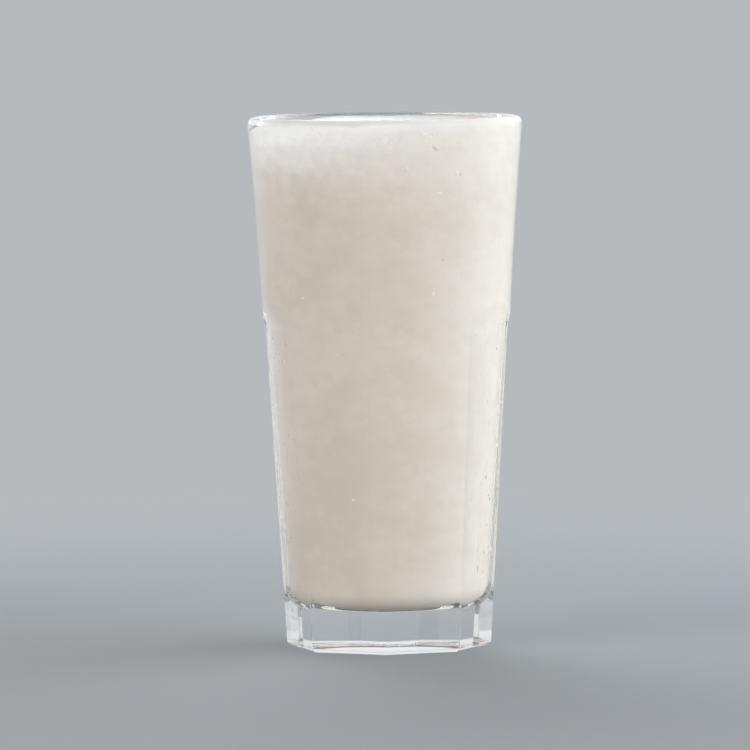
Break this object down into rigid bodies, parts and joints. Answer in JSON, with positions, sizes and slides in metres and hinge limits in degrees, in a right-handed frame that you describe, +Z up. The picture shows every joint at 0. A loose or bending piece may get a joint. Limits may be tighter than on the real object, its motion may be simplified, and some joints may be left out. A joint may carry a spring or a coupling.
{
  "type": "coconut limeade",
  "caption": "Tall tapering glass tumbler, round above and flat-panelled below, filled to near the lip with cloudy cream coconut limeade under a thin frothy head.",
  "frame": {"origin": "middle of the foot, on the surface that the glass stands on", "axes": "+Z up along the axis of the glass; -Y is the shown front, where a corner between two panels faces forward"},
  "size_m": [0.0832, 0.0832, 0.1612],
  "materials": {
    "glass": "clear pressed soda-lime glass, fire-polished, with a little condensation",
    "limeade": "opaque cloudy cream-coloured liquid",
    "froth": "off-white froth of fine bubbles"
  },
  "bodies": {
    "root": {"glass": "glass", "limeade": "limeade", "froth": "froth"}
  },
  "joints": []
}
